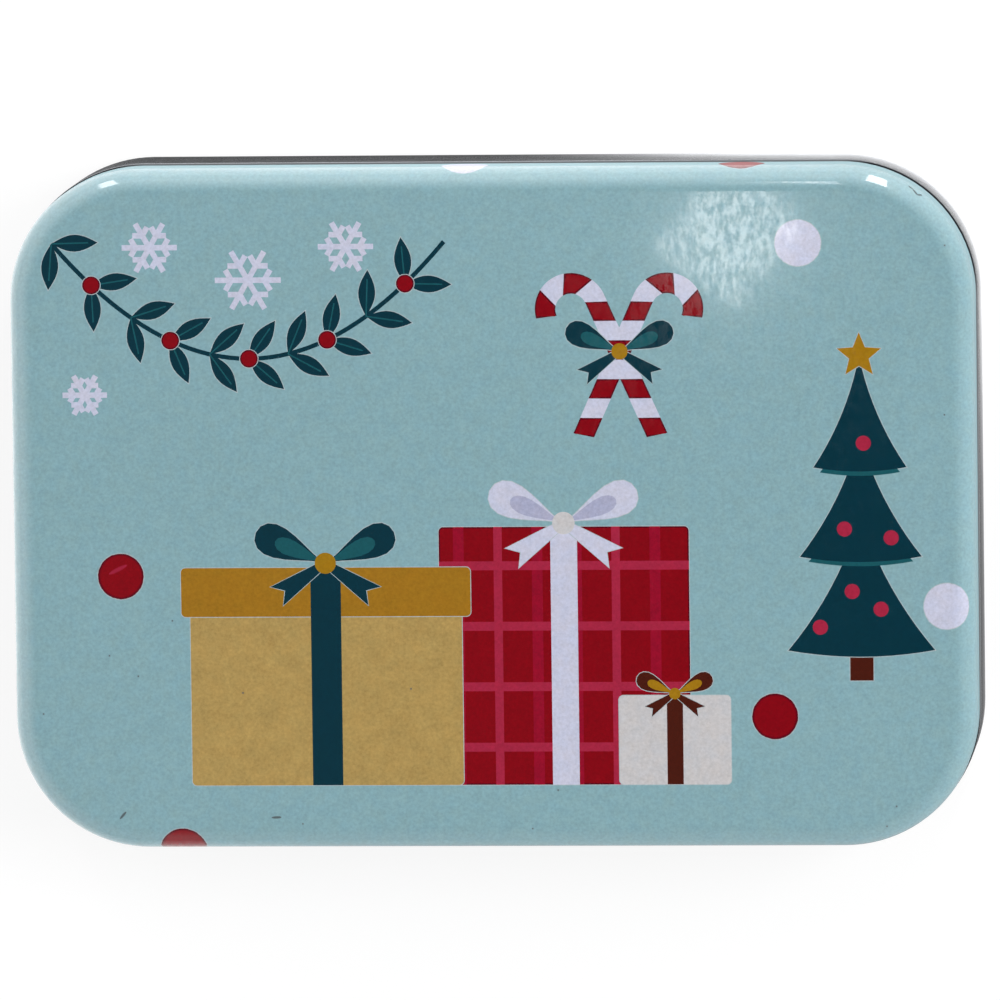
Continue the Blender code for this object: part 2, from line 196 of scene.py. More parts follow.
class Finish:
    """A material or a world under construction."""

    def __init__(self, owner):
        owner.use_nodes = True
        self.owner = owner
        self.tree = owner.node_tree
        self.tree.nodes.clear()

    def node(self, kind, settings, values, output=0):
        """A node with its settings made first, then its sockets filled or wired."""
        node = self.tree.nodes.new(kind)
        for name, setting in settings.items():
            setattr(node, name, setting)
        for socket, value in values.items():
            if isinstance(value, Wire):
                self.tree.links.new(value.socket, node.inputs[socket])
            else:
                node.inputs[socket].default_value = value
        return Wire(self, node.outputs[output]) if node.outputs else None

    def maths(self, operation, *values):
        return self.node("ShaderNodeMath", {"operation": operation}, dict(enumerate(values)))

    def hypotenuse(self, x, y):
        return self.maths("SQRT", x * x + y * y)

    def place(self):
        """Where the surface lies in the piece, in metres."""
        return self.node("ShaderNodeTexCoord", {}, {}, "Object")

    def parts(self, vector):
        """The X, Y and Z of a vector."""
        split = self.node("ShaderNodeSeparateXYZ", {}, {0: vector})
        return [Wire(self, socket) for socket in split.socket.node.outputs]

    def vector(self, x, y, z):
        return self.node("ShaderNodeCombineXYZ", {}, {0: x, 1: y, 2: z})

    def stretched(self, vector, factors):
        """A vector with each part scaled by itself."""
        return self.node("ShaderNodeVectorMath", {"operation": "MULTIPLY"}, {0: vector, 1: factors})

    def distance(self, vector, point):
        return self.node("ShaderNodeVectorMath", {"operation": "DISTANCE"}, {0: vector, 1: point}, "Value")

    def tinted(self, colour, level):
        """A colour made lighter or darker by a level that varies."""
        return self.node("ShaderNodeVectorMath", {"operation": "SCALE"}, {0: colour, "Scale": level})

    def noise(self, vector, grain, detail=2.0, roughness=0.5):
        """Noise from 0 to 1 whose lumps are about a grain across."""
        values = {"Vector": vector, "Scale": 1.0 / grain, "Detail": detail, "Roughness": roughness}
        return self.node("ShaderNodeTexNoise", {}, values)

    def blend(self, share, first, second):
        """Two colours mixed by a share of the second."""
        return self.node("ShaderNodeMix", {"data_type": "RGBA"}, {0: share, 6: first, 7: second}, 2)

    def bump(self, height, depth):
        """A surface normal pushed about by a height from 0 to 1."""
        return self.node("ShaderNodeBump", {}, {"Height": height, "Distance": depth, "Strength": 1.0})

    def rays(self):
        """For each kind of ray, 1 where the light is seen by it."""
        path = self.node("ShaderNodeLightPath", {}, {})
        return {kind: Wire(self, path.socket.node.outputs[f"Is {kind} Ray"]) for kind in RAY_KINDS}

    def surface(self, values):
        """Finish the material with a Principled shader."""
        shader = self.node("ShaderNodeBsdfPrincipled", {}, values)
        self.node("ShaderNodeOutputMaterial", {}, {"Surface": shader})
        return self.owner


def linear(seen):
    """A seen colour from 0 to 1 as linear values, by the usual screen curve, with full cover."""
    return (*[s / 12.92 if s <= 0.04045 else ((s + 0.055) / 1.055) ** 2.4 for s in seen], 1.0)


# Section of a drawn sheet and its sweep round the tin's outline


class Draft:
    """A sheet's section, drawn on the right-hand side of the tin and swept round its outline.

    A place in the section is its inset from the outer wall and its height.
    """

    def __init__(self, name, sizes, inset, height):
        self.half_length = sizes.outer_length / 2.0
        self.core_x = self.half_length - sizes.corner
        self.core_y = sizes.outer_width / 2.0 - sizes.corner
        self.end = (inset, height)
        bpy.ops.object.select_all(action="DESELECT")
        bpy.ops.mesh.primitive_plane_add(size=sizes.sheet, enter_editmode=True, location=(0.0, 0.0, 0.0))
        self.piece = bpy.context.object
        self.piece.name = name
        self.piece.data.name = name
        bpy.ops.mesh.select_mode(type="VERT")
        bpy.ops.mesh.merge(type="CENTER")
        bpy.ops.transform.translate(value=self.place(inset, height))

    def place(self, inset, height):
        """A place in the section as a point of the tin."""
        return Vector((self.half_length - inset, -self.core_y, height))

    def run(self, inset, height):
        """Carry the sheet on straight, held flat at both ends."""
        start = self.place(*self.end)
        whole = self.place(inset, height) - start
        hold = min(HOLD, whole.length / 4.0)
        for share in (hold, whole.length - 2.0 * hold, hold):
            step = whole.normalized() * share
            bpy.ops.mesh.extrude_vertices_move(TRANSFORM_OT_translate={"value": step})
        self.end = (inset, height)

    def bend(self, inset, height, turn, steps):
        """Bend the sheet about a centre by an angle in degrees, from outwards to upwards."""
        centre = self.place(inset, height)
        angle = math.radians(turn)
        bpy.ops.mesh.spin(steps=steps, angle=-angle, center=centre, axis=(0.0, -1.0, 0.0))
        spoke = self.place(*self.end) - centre
        spoke.rotate(Matrix.Rotation(angle, 3, (0.0, -1.0, 0.0)))
        self.end = (self.half_length - (centre + spoke).x, (centre + spoke).z)

    def sweep(self):
        """Carry the section round the four sides and corners, and close it."""
        bpy.ops.mesh.select_all(action="SELECT")
        corners = ((1, 1), (-1, 1), (-1, -1), (1, -1))
        sides = ((0, 1), (-1, 0), (0, -1), (1, 0))
        for (side_x, side_y), (along_x, along_y) in zip(corners, sides):
            whole = 2.0 * (self.core_x if along_x else self.core_y)
            for share in (HOLD, whole - 2.0 * HOLD, HOLD):
                step = (along_x * share, along_y * share, 0.0)
                bpy.ops.mesh.extrude_edges_move(TRANSFORM_OT_translate={"value": step})
            centre = (side_x * self.core_x, side_y * self.core_y, 0.0)
            bpy.ops.mesh.spin(steps=CORNER_STEPS, angle=-math.pi / 2.0, center=centre, axis=(0.0, 0.0, 1.0))
        bpy.ops.mesh.select_all(action="SELECT")
        bpy.ops.mesh.remove_doubles(threshold=WELD)
        bpy.ops.mesh.normals_make_consistent(inside=False)

    def close_panel(self, height, up):
        """Fill the flat panel, with a ring just inside its edge that keeps it flat."""
        bpy.ops.mesh.select_mode(type="EDGE")
        bpy.ops.mesh.select_all(action="DESELECT")
        shape = bmesh.from_edit_mesh(self.piece.data)
        for edge in shape.edges:
            level = all(abs(vertex.co.z - height) < WELD for vertex in edge.verts)
            edge.select_set(level and edge.is_boundary)
        bmesh.update_edit_mesh(self.piece.data)
        bpy.ops.mesh.edge_face_add()
        bpy.ops.mesh.select_mode(type="FACE")
        shape = bmesh.from_edit_mesh(self.piece.data)
        panel = max(shape.faces, key=lambda face: face.calc_area())
        if (panel.normal.z > 0.0) != up:
            bpy.ops.mesh.flip_normals()
        bpy.ops.mesh.inset(thickness=HOLD, depth=0.0)
        bpy.ops.object.mode_set(mode="OBJECT")

    def give_gauge(self, sizes, bare_slot):
        """Thicken the sheet inwards, smooth it and leave its inner face bare."""
        gauge = self.piece.modifiers.new("Gauge", "SOLIDIFY")
        gauge.thickness = sizes.sheet
        gauge.offset = -1.0
        gauge.use_even_offset = True
        gauge.use_quality_normals = True
        gauge.material_offset = bare_slot
        gauge.material_offset_rim = bare_slot
        bpy.ops.object.modifier_apply(modifier=gauge.name)
        bpy.ops.object.shade_smooth_by_angle(angle=SHARP_ANGLE)


# Outlines of the print, each anticlockwise

ART_LENGTH = 108.0
ROUND_STEPS = 40
LEAF_STEPS = 10
CORNER_OF_BOX = 5  # steps
LOOP_FULLNESS = 0.8
TAIL_ROOT = 0.3  # a tail's width at the knot, as a share of its end's
TAIL_NOTCH = 0.45  # depth of the notch in its end, as a share of its width
MITRE = 0.5  # keeps a sharp corner from running far out


def circle(x, y, radius):
    """A round spot."""
    turns = [2.0 * math.pi * i / ROUND_STEPS for i in range(ROUND_STEPS)]
    return [Vector((x + radius * math.cos(a), y + radius * math.sin(a))) for a in turns]


def box(left, bottom, width, height, radius=0.0):
    """An upright rectangle, with rounded corners if it has a radius."""
    right = left + width
    top = bottom + height
    corners = ((right, top), (left, top), (left, bottom), (right, bottom))
    if not radius:
        return [Vector(corner) for corner in corners]
    outline = []
    for quarter, (x, y) in enumerate(corners):
        middle = Vector((x - math.copysign(radius, x - left - width / 2.0),
                         y - math.copysign(radius, y - bottom - height / 2.0)))
        for i in range(CORNER_OF_BOX + 1):
            angle = math.pi / 2.0 * (quarter + i / CORNER_OF_BOX)
            outline.append(middle + Vector((math.cos(angle), math.sin(angle))) * radius)
    return outline


def bar(first, last, width):
    """A straight stroke with square ends."""
    side = (last - first).orthogonal().normalized() * width / 2.0
    return [first - side, last - side, last + side, first + side]


def heading(degrees):
    """A unit vector that points this way."""
    return Vector((math.cos(math.radians(degrees)), math.sin(math.radians(degrees))))


def leaf(x, y, angle, length, width):
    """A pointed leaf that grows from a place at an angle in degrees."""
    along = heading(angle)
    across = along.orthogonal() * width / 2.0
    shares = [i / LEAF_STEPS for i in range(LEAF_STEPS)]
    root = Vector((x, y))
    right = [root + along * length * s - across * math.sin(math.pi * s) for s in shares]
    left = [root + along * length * (1 - s) + across * math.sin(math.pi * s) for s in shares]
    return right + left


def loop(x, y, angle, length, width):
    """A ribbon's loop, pointed at the knot and round at its far end."""
    along = heading(angle)
    across = along.orthogonal()
    outline = []
    for i in range(2 * LEAF_STEPS):
        turn = math.pi * i / LEAF_STEPS
        reach = (1.0 - math.cos(turn)) / 2.0
        side = across * width * LOOP_FULLNESS * math.sin(turn) * reach
        outline.append(Vector((x, y)) + along * length * reach - side)
    return outline


def tail(x, y, angle, length, width):
    """A ribbon's free end, which widens from the knot to a notch."""
    along = heading(angle)
    across = along.orthogonal() * width / 2.0
    root = Vector((x, y))
    tip = root + along * length
    notch = tip - along * width * TAIL_NOTCH
    return [root - across * TAIL_ROOT, tip - across, notch, tip + across, root + across * TAIL_ROOT]


def star(x, y, radius, waist, points):
    """A star with its first point up."""
    outline = []
    for i in range(2 * points):
        reach = radius if i % 2 == 0 else waist
        outline.append(Vector((x, y)) + heading(90.0 + 180.0 * i / points) * reach)
    return outline


def spread(outline, distance):
    """The outline moved outwards by a distance."""
    moved = []
    for before, here, after in zip(outline[-1:] + outline[:-1], outline, outline[1:] + outline[:1]):
        first = (here - before).normalized()
        second = (after - here).normalized()
        out = Vector((first.y + second.y, -first.x - second.x))
        moved.append(here + out * (distance / max(MITRE, 1.0 + first.dot(second))))
    return moved


# Motifs of the print, each a list of outlines with their inks, lowest first

EDGE_LINE = 0.08  # width of the bare line that shows beside a colour
OVERLAP = 0.17  # width of the dark line inside red, where it overlaps the ground


def with_edge(shapes):
    """The shapes over a bare line that follows their outlines, red ones with a dark line inside."""
    bare = [(spread(outline, EDGE_LINE), "pale") for outline, _ in shapes]
    return bare + [layer for outline, name in shapes for layer in overlapped(outline, name)]


def overlapped(outline, name):
    """A field of colour, inside a dark line if it is red."""
    if name != "red":
        return [(outline, name)]
    return [(outline, "dark_red"), (spread(outline, -OVERLAP), name)]


# A bow's parts as shares of its size, and the ways they point, in degrees
BOW_WAIST = 0.42  # width of a loop
KNOT_SIZE = 0.14
TAIL_LENGTH = 0.78
TAIL_WIDTH = 0.3
TAIL_WAYS = (-34.0, 214.0)
LOOP_WAYS = (24.0, 156.0)
FOLD_LENGTH = 0.72
FOLD_WIDTH = 0.5  # as a share of the loop's width


def bow(x, y, size, ribbon, fold, knot):
    """A ribbon's bow: two tails, two loops with their folds, and the knot."""
    fold_width = size * BOW_WAIST * FOLD_WIDTH
    shapes = [(tail(x, y, way, size * TAIL_LENGTH, size * TAIL_WIDTH), ribbon) for way in TAIL_WAYS]
    shapes += [(loop(x, y, way, size, size * BOW_WAIST), ribbon) for way in LOOP_WAYS]
    shapes += [(loop(x, y, way, size * FOLD_LENGTH, fold_width), fold) for way in LOOP_WAYS]
    return with_edge(shapes) + [(circle(x, y, size * KNOT_SIZE), knot)]


BOX_ROUND = 0.5  # radius of a wrapped box's corners


def present(left, bottom, width, height, paper, ribbon, ribbon_width, trim=()):
    """A wrapped box with its trim and a ribbon up its middle."""
    ribbon_left = left + (width - ribbon_width) / 2.0
    shapes = with_edge([(box(left, bottom, width, height, BOX_ROUND), paper)])
    return shapes + [*trim, (box(ribbon_left, bottom, ribbon_width, height), ribbon)]


# Stripes of a plaid: from one to the next, and their widths
UPRIGHT_STEP = 4.4
STRONG_UPRIGHT = 0.95
FAINT_UPRIGHT = 1.2
STRONG_EVERY = 3
LEVEL_STEP = 6.8
LEVEL_START = 0.55  # height of the lowest, in steps
LEVEL_STRIPE = 1.0


def plaid(left, bottom, width, height):
    """Stripes both ways over a wrapped box. Every third upright stripe is a strong one."""
    shapes = []
    for i in range(int(width / UPRIGHT_STEP)):
        strong = i % STRONG_EVERY == 1
        stripe = STRONG_UPRIGHT if strong else FAINT_UPRIGHT
        start = left + UPRIGHT_STEP * (i + 0.5) - stripe / 2.0
        shapes.append((box(start, bottom, stripe, height), "rose" if strong else "faint_rose"))
    for i in range(int(height / LEVEL_STEP)):
        foot = bottom + LEVEL_STEP * (i + LEVEL_START)
        shapes.append((box(left, foot, width, LEVEL_STRIPE), "rose"))
    return shapes


TREE_TIERS = ((0.0, 8.2, 15.0), (10.5, 6.8, 13.5), (20.5, 5.2, 12.5))  # height, half width, rise
SIDE_SAG = 0.05  # how far a tier's sides draw in and its foot hangs, as shares of their length
FOOT_SAG = -0.045
UNDER_DROP = 0.55  # the light line under an upper tier, and its size as shares of the tier's
UNDER_WIDTH = 0.86
UNDER_RISE = 0.7
TRUNK_WIDTH = 2.6
TRUNK_HEIGHT = 3.4
STAR_RADIUS = 2.6
STAR_WAIST = 1.15
STAR_POINTS = 5
BAUBLES = ((-4.6, 2.6), (2.2, 4.6), (-1.8, 13.6), (3.4, 12.6), (0.4, 23.2), (-1.0, 6.6))
BAUBLE_RADIUS = 0.85


def tier(x, foot, half, rise):
    """One tier of a tree: sides that draw in a little and a foot that sags."""
    right = Vector((x + half, foot))
    left = Vector((x - half, foot))
    top = Vector((x, foot + rise))
    outline = []
    for first, last, sag in ((right, top, SIDE_SAG), (top, left, SIDE_SAG), (left, right, FOOT_SAG)):
        inwards = (last - first).orthogonal() * sag
        for i in range(LEAF_STEPS):
            share = i / LEAF_STEPS
            outline.append(first.lerp(last, share) + inwards * 4.0 * share * (1.0 - share))
    return outline


def fir_tree(x, foot):
    """A tree of three tiers, with baubles and a star."""
    shapes = [(box(x - TRUNK_WIDTH / 2.0, foot - TRUNK_HEIGHT, TRUNK_WIDTH, TRUNK_HEIGHT), "brown")]
    tiers = [(tier(x, foot + height, half, rise), "teal") for height, half, rise in TREE_TIERS]
    shapes = with_edge(shapes) + with_edge(tiers)
    for height, half, rise in TREE_TIERS[1:]:
        under = tier(x, foot + height - UNDER_DROP, half * UNDER_WIDTH, rise * UNDER_RISE)
        shapes += [(under, "light_teal"), (tier(x, foot + height, half, rise), "teal")]
    top = foot + TREE_TIERS[-1][0] + TREE_TIERS[-1][2]
    shapes += [(circle(x + dx, foot + dy, BAUBLE_RADIUS), "rose") for dx, dy in BAUBLES]
    return shapes + with_edge([(star(x, top, STAR_RADIUS, STAR_WAIST, STAR_POINTS), "gold")])


ARM_WIDTH = 0.62
BRANCH_REACH = 0.36  # as a share of the flake's radius
BRANCH_START = 0.5


def snowflake(x, y, radius):
    """Three strokes that cross, with a pair of branches near each of their ends."""
    centre = Vector((x, y))
    shapes = []
    for arm in range(6):
        along = heading(60.0 * arm)
        if arm < 3:
            shapes.append((bar(centre - along * radius, centre + along * radius, ARM_WIDTH), "white"))
        for lean in (-1, 1):
            start = centre + along * radius * BRANCH_START
            branch = heading(60.0 * (arm + lean)) * radius * BRANCH_REACH
            shapes.append((bar(start, start + branch, ARM_WIDTH), "white"))
    return shapes


CANE_WIDTH = 2.3
CANE_HOOK = 2.9  # radius of the hook
CANE_BANDS = 11
CANE_SLANT = 0.5  # of a band's ends, as a length along the cane


def cane(x, y, length, lean, side):
    """A striped stick that leans from upright by an angle in degrees, its hook to side 1 or -1."""
    turn = Matrix.Rotation(math.radians(lean), 2)
    whole = length + math.pi * CANE_HOOK

    def edge(distance, offset):
        """A point beside the cane's middle line, this far along it."""
        distance = max(0.0, min(whole, distance)) + distance * 0.001
        if distance < length:
            point = Vector((-offset, distance))
        else:
            angle = math.pi - (distance - length) / CANE_HOOK
            radius = CANE_HOOK + offset
            point = Vector((CANE_HOOK + radius * math.cos(angle), length + radius * math.sin(angle)))
        return turn @ Vector((point.x * side, point.y)) + Vector((x, y))

    def band_outline(band, margin):
        """A band between its slanted ends, this far inside its own edges."""
        half = CANE_WIDTH / 2.0 - margin
        first = whole * band / CANE_BANDS + margin
        step = (whole / CANE_BANDS - 2.0 * margin) / LEAF_STEPS
        stops = [first + step * i for i in range(LEAF_STEPS + 1)]
        inner = [edge(stop + CANE_SLANT, -half) for stop in stops]
        outer = [edge(stop - CANE_SLANT, half) for stop in stops]
        return inner + outer[::-1] if side == 1 else outer + inner[::-1]

    shapes = []
    for band in range(CANE_BANDS):
        shapes.append((band_outline(band, 0.0), "white" if band % 2 else "dark_red"))
        if not band % 2:
            shapes.append((band_outline(band, OVERLAP), "red"))
    return shapes


STRING_WIDTH = 0.5
KNOTS = 10
STRING_STEPS = 4  # from one knot to the next
SPRIG_LENGTH = 5.2
SPRIG_WIDTH = 1.9
SPRIG_LEAN = 48.0  # degrees from the string
VEIN_WIDTH = 0.16
VEIN_LENGTH = 0.8  # as a share of the leaf's
BERRY_RADIUS = 1.0


def garland(left, right, top, sag):
    """A hanging string with pairs of leaves and a berry between them."""

    def hang(share):
        """A place on the string, this share of the way along."""
        return Vector((left + (right - left) * share, top - sag * 4.0 * share * (1.0 - share)))

    steps = KNOTS * STRING_STEPS
    fine = [hang(i / steps) for i in range(steps + 1)]
    knots = fine[::STRING_STEPS]
    string = [(bar(first, last, STRING_WIDTH), "teal") for first, last in zip(fine, fine[1:])]
    leaves = []
    veins = []
    for first, last in zip(knots, knots[1:]):
        way = math.degrees(math.atan2(last.y - first.y, last.x - first.x))
        for lean in (-SPRIG_LEAN, SPRIG_LEAN):
            leaves.append((leaf(first.x, first.y, way + lean, SPRIG_LENGTH, SPRIG_WIDTH), "teal"))
            tip = first + heading(way + lean) * SPRIG_LENGTH * VEIN_LENGTH
            veins.append((bar(first, tip, VEIN_WIDTH), "light_teal"))
    berries = [(circle(knot.x, knot.y, BERRY_RADIUS), "red") for knot in knots[1:-1:2]]
    return with_edge(leaves) + string + veins + with_edge(berries)


# Boxes of the print: left, bottom, width and height; and its snowflakes: place and radius
PLAID_BOX = (-6.0, -31.0, 28.0, 29.0)
TAN_BOX = (-34.0, -31.0, 30.5, 24.5)
TAN_LID = (-35.0, -12.0, 32.5, 5.5)
CREAM_BOX = (14.0, -31.0, 12.5, 10.0)
SNOWFLAKES = ((-38.0, 29.5, 3.1), (-27.0, 25.8, 3.7), (-16.0, 29.5, 3.1), (-45.5, 13.0, 2.5))


def lid_print():
    """The whole print, lowest first, in its own units from the lid's middle."""
    shapes = garland(left=-49.0, right=-5.0, top=30.0, sag=13.0)
    for flake in SNOWFLAKES:
        shapes += snowflake(*flake)
    shapes += cane(x=10.3, y=8.0, length=17.0, lean=-24.0, side=1)
    shapes += cane(x=18.7, y=8.0, length=17.0, lean=24.0, side=-1)
    shapes += bow(x=14.5, y=17.6, size=6.5, ribbon="teal", fold="light_teal", knot="gold")
    shapes += fir_tree(x=41.2, foot=-16.0)
    shapes += present(*PLAID_BOX, "red", ribbon="white", ribbon_width=3.0, trim=plaid(*PLAID_BOX))
    shapes += bow(x=8.0, y=-1.6, size=9.0, ribbon="white", fold="shade", knot="cream")
    band = with_edge([(box(*TAN_LID, BOX_ROUND), "ochre")])
    shapes += present(*TAN_BOX, "tan", ribbon="teal", ribbon_width=3.4, trim=band)
    shapes += bow(x=-18.75, y=-6.0, size=8.5, ribbon="teal", fold="light_teal", knot="gold")
    shapes += present(*CREAM_BOX, "cream", ribbon="brown", ribbon_width=1.8)
    shapes += bow(x=20.25, y=-20.8, size=4.6, ribbon="brown", fold="gold", knot="gold")
    return shapes


INK_NAMES = tuple(PrintInks.__annotations__)

# How far each ink varies, from 0 to 1; the rest vary by PLAIN_MOTTLE
MOTTLE = {"tan": 1.0, "ochre": 0.5, "faint_rose": 0.9, "rose": 0.6, "red": 0.45, "teal": 0.4, "ground": 0.3}
PLAIN_MOTTLE = 0.2


def print_unit(sizes):
    """The print's own unit, in metres: it is drawn for a lid of ART_LENGTH of them."""
    return (sizes.outer_length - 2.0 * sizes.lid_inset) / ART_LENGTH


def lay_print(piece, sizes, inks):
    """Divide the lid's panel into the print's fields and mark every face with its ink."""
    fields = [([point * print_unit(sizes) for point in outline], name) for outline, name in lid_print()]
    shape = bmesh.new()
    shape.from_mesh(piece.data)
    marks = shape.loops.layers.float_color.new("ink")
    panel = max(shape.faces, key=lambda face: face.calc_area())
    edge = list(panel.verts)
    height = edge[0].co.z
    bmesh.ops.delete(shape, geom=[panel], context="FACES_ONLY")
    points = [vertex.co.xy.copy() for vertex in edge]
    faces = [list(range(len(edge)))]
    for outline, _ in fields:
        faces.append([len(points) + i for i in range(len(outline))])
        points += outline
    triangles_inside = 1
    flat, _, triangles, sources, _, covers = delaunay_2d_cdt(points, [], faces, triangles_inside, WELD)
    vertices = []
    for point, source in zip(flat, sources):
        known = [i for i in source if i < len(edge)]
        vertices.append(edge[known[0]] if known else shape.verts.new((point.x, point.y, height)))

    marked = {}
    for name in INK_NAMES:
        marked[name] = (*linear(getattr(inks, name))[:3], MOTTLE.get(name, PLAIN_MOTTLE))
    for face in shape.faces:
        for corner in face.loops:
            corner[marks] = marked["ground"]
    for triangle, covered in zip(triangles, covers):
        if 0 not in covered:
            continue
        top = max(covered)
        face = shape.faces.new([vertices[i] for i in triangle])
        for corner in face.loops:
            corner[marks] = marked[fields[top - 1][1] if top else "ground"]
    shape.to_mesh(piece.data)
    shape.free()


# Finishes

# Grain of the print, from one lump to the next, and how far it swings between warm and cool
FINE_GRAIN = 0.32 * MM
COARSE_GRAIN = 2.4 * MM
BROAD_GRAIN = 28.0 * MM
WARM_GRAIN = 1.3 * MM
WARMTH = 0.12

# The varnish: its fine wrinkles, matt on their crests, on a lie that isn't quite flat, and its smudges
VARNISH_GLOSS = 1.0
COAT_ROUGHNESS = 0.02
WRINKLE_GRAIN = 0.6 * MM
WRINKLE_STRETCH = (1.0, 0.45, 1.0)
WRINKLE_DEPTH = 0.0003 * MM
MATT_FROM = 0.38
MATT_RISE = 3.5
MATT_COAT = 0.7  # share of the coat that is lost there
LIE_GRAIN = 9.0 * MM
LIE_DEPTH = 1.5  # in wrinkles
SMUDGE_GRAIN = 14.0 * MM

# Bare tinplate: lines that run along it, streaks round its walls, spots and speckle
TINPLATE_COLOUR = (0.52, 0.53, 0.545)
TINPLATE_EDGE = (0.5, 0.51, 0.53, 1.0)  # its tint at a grazing angle
LINE_GRAIN = 0.18 * MM
LINE_STRETCH = (0.04, 1.0, 1.0)
STREAK_GRAIN = 1.3 * MM
STREAK_STRETCH = (0.06, 0.06, 1.0)
SPOT_GRAIN = 6.0 * MM
SPECKLE_GRAIN = 0.35 * MM
LINE_DEPTH = 0.003 * MM

# Painted shade in the groove between the lid's hem and the base's ledge
GROOVE_HEIGHT = 0.5 * MM  # to each side of the hem's lowest line
GROOVE_DEPTH = 0.5 * MM  # in from the base's wall
GROOVE_EDGE = 0.15 * MM
GROOVE_SHADE_COLOUR = (0.13, 0.14, 0.15, 1.0)
GROOVE_CORNER_SHADE = (0.008, 0.009, 0.012, 1.0)  # round the corners, where the painted shade is darkest
GROOVE_TURN = 5.0  # how soon it darkens on the way into a corner

# The skirt, rubbed dull by handling from this far below the panel
SKIRT_DULL = 2.0 * MM
SKIRT_EDGE = 0.8 * MM
SKIRT_ROUGHNESS = 0.55

# Polka dots on the flat sheet, in the print's units; some run over the rolled edge. Each is a
# body in its own ink, a rim in its edge's ink and a bare line, and its outline wanders a little
DOT_RADIUS = 2.57
DOT_RIM = 0.22
BODY_EDGE = 0.2
RIM_EDGE = 0.06
BARE_EDGE = 0.1
RAGGED_GRAIN = 0.5 * MM
RAGGED = 0.12
RED_DOTS = ((-41.75, -7.4), (31.45, -23.4), (-35.2, -38.4), (28.1, 40.9))
WHITE_DOTS = ((34.5, 29.6), (50.75, -11.1), (-2.8, 40.4))

# Wear on the lid, in the same units: dark specks, dark scratches and one pale scratch, whose paleness is a
# painted highlight along it
SPECKS = (
    (-36.03, -12.41), (-43.17, -16.33), (-39.95, -18.65), (-50.7, -22.87), (-28.2, -20.56),
    (-9.31, -20.16), (-21.67, -35.35), (4.15, -35.95), (7.06, -31.62), (44.93, -33.54),
    (43.83, -35.85), (50.86, 29.24), (50.66, 10.33),
)
SPECK_RADIUS = 0.11
SPECK_EDGE = 0.12
SCRATCHES = (
    ((-42.26, -34.74), (-41.56, -33.94)), ((-25.18, -34.64), (-24.08, -34.59)),
    ((47.14, 36.28), (47.65, 35.88)), ((47.65, 35.88), (48.05, 35.07)), ((48.05, 35.07), (48.75, 35.27)),
)
PALE_SCRATCH_HIGHLIGHT = ((-43.07, -7.13), (-41.06, -6.12))
SCRATCH_GAP = 0.02  # from its line to its edge
DARK_EDGE = 0.024
PALE_EDGE = 0.03
WEAR_COLOUR = (0.04, 0.05, 0.055, 1.0)
WEAR_COVER = 0.85
PALE_COVER = 0.8


def beyond_core(x, y, sizes):
    """How far a place lies beyond the rectangle through the centres of the corners."""
    core_x = sizes.outer_length / 2.0 - sizes.corner
    core_y = sizes.outer_width / 2.0 - sizes.corner
    return x - x.most(-core_x).least(core_x), y - y.most(-core_y).least(core_y)


def groove_painted_shade(finish, place, sizes):
    """The painted shade in the groove between the two pieces: 1 in it and 0 away from it, and its colour."""
    x, y, height = finish.parts(place)
    out_x, out_y = beyond_core(x, y, sizes)
    inset = sizes.corner - finish.hypotenuse(out_x, out_y)
    outside = inset.below(GROOVE_DEPTH, GROOVE_EDGE)
    share = finish.maths("ABSOLUTE", height - sizes.lid_seat).below(GROOVE_HEIGHT, GROOVE_EDGE)
    corner = (finish.maths("ABSOLUTE", out_x * out_y) * (GROOVE_TURN / sizes.corner ** 2)).within()
    return share * outside, finish.blend(corner, GROOVE_SHADE_COLOUR, GROOVE_CORNER_SHADE)


def flattened(finish, place, sizes):
    """Where a point of the lid's outer face lay on the flat sheet, in the print's units."""
    x, y, z = finish.parts(place)
    out_x, out_y = beyond_core(x, y, sizes)
    reach = finish.hypotenuse(out_x, out_y)
    panel_radius = sizes.corner - sizes.lid_inset - sizes.roll
    beyond = (reach - panel_radius).most(0.0)
    above = z - (sizes.closed_height - sizes.roll)
    angle = finish.maths("ARCTAN2", beyond, above).least(math.pi / 2.0)
    along = angle * sizes.roll + (0.0 - above).most(0.0)
    stretch = (along - beyond) / reach.most(MM)
    unit = print_unit(sizes)
    return finish.vector((x + out_x * stretch) / unit, (y + out_y * stretch) / unit, 0.0)


def nearest(finish, flat, centres):
    """Distance to the nearest of some points."""
    gap = None
    for x, y in centres:
        here = finish.distance(flat, (x, y, 0.0))
        gap = here if gap is None else gap.least(here)
    return gap


def stroke_gap(finish, flat, first, last):
    """Distance to a straight stroke: what the way through both its ends is longer by."""
    first = Vector((*first, 0.0))
    last = Vector((*last, 0.0))
    detour = finish.distance(flat, first) + finish.distance(flat, last)
    return (detour - (last - first).length).most(0.0) / 2.0


def with_dots(finish, place, flat, colour, inks):
    """The print's colour with the polka dots over it."""
    ragged = finish.noise(place, RAGGED_GRAIN, 2.0) * RAGGED - RAGGED / 2.0
    for centres, rim, body in ((RED_DOTS, "dark_red", "red"), (WHITE_DOTS, "white", "white")):
        gap = nearest(finish, flat, centres) + ragged
        colour = finish.blend(gap.below(DOT_RADIUS + EDGE_LINE, BARE_EDGE), colour, linear(inks.pale))
        colour = finish.blend(gap.below(DOT_RADIUS, RIM_EDGE), colour, linear(getattr(inks, rim)))
        colour = finish.blend(gap.below(DOT_RADIUS - DOT_RIM, BODY_EDGE), colour, linear(getattr(inks, body)))
    return colour


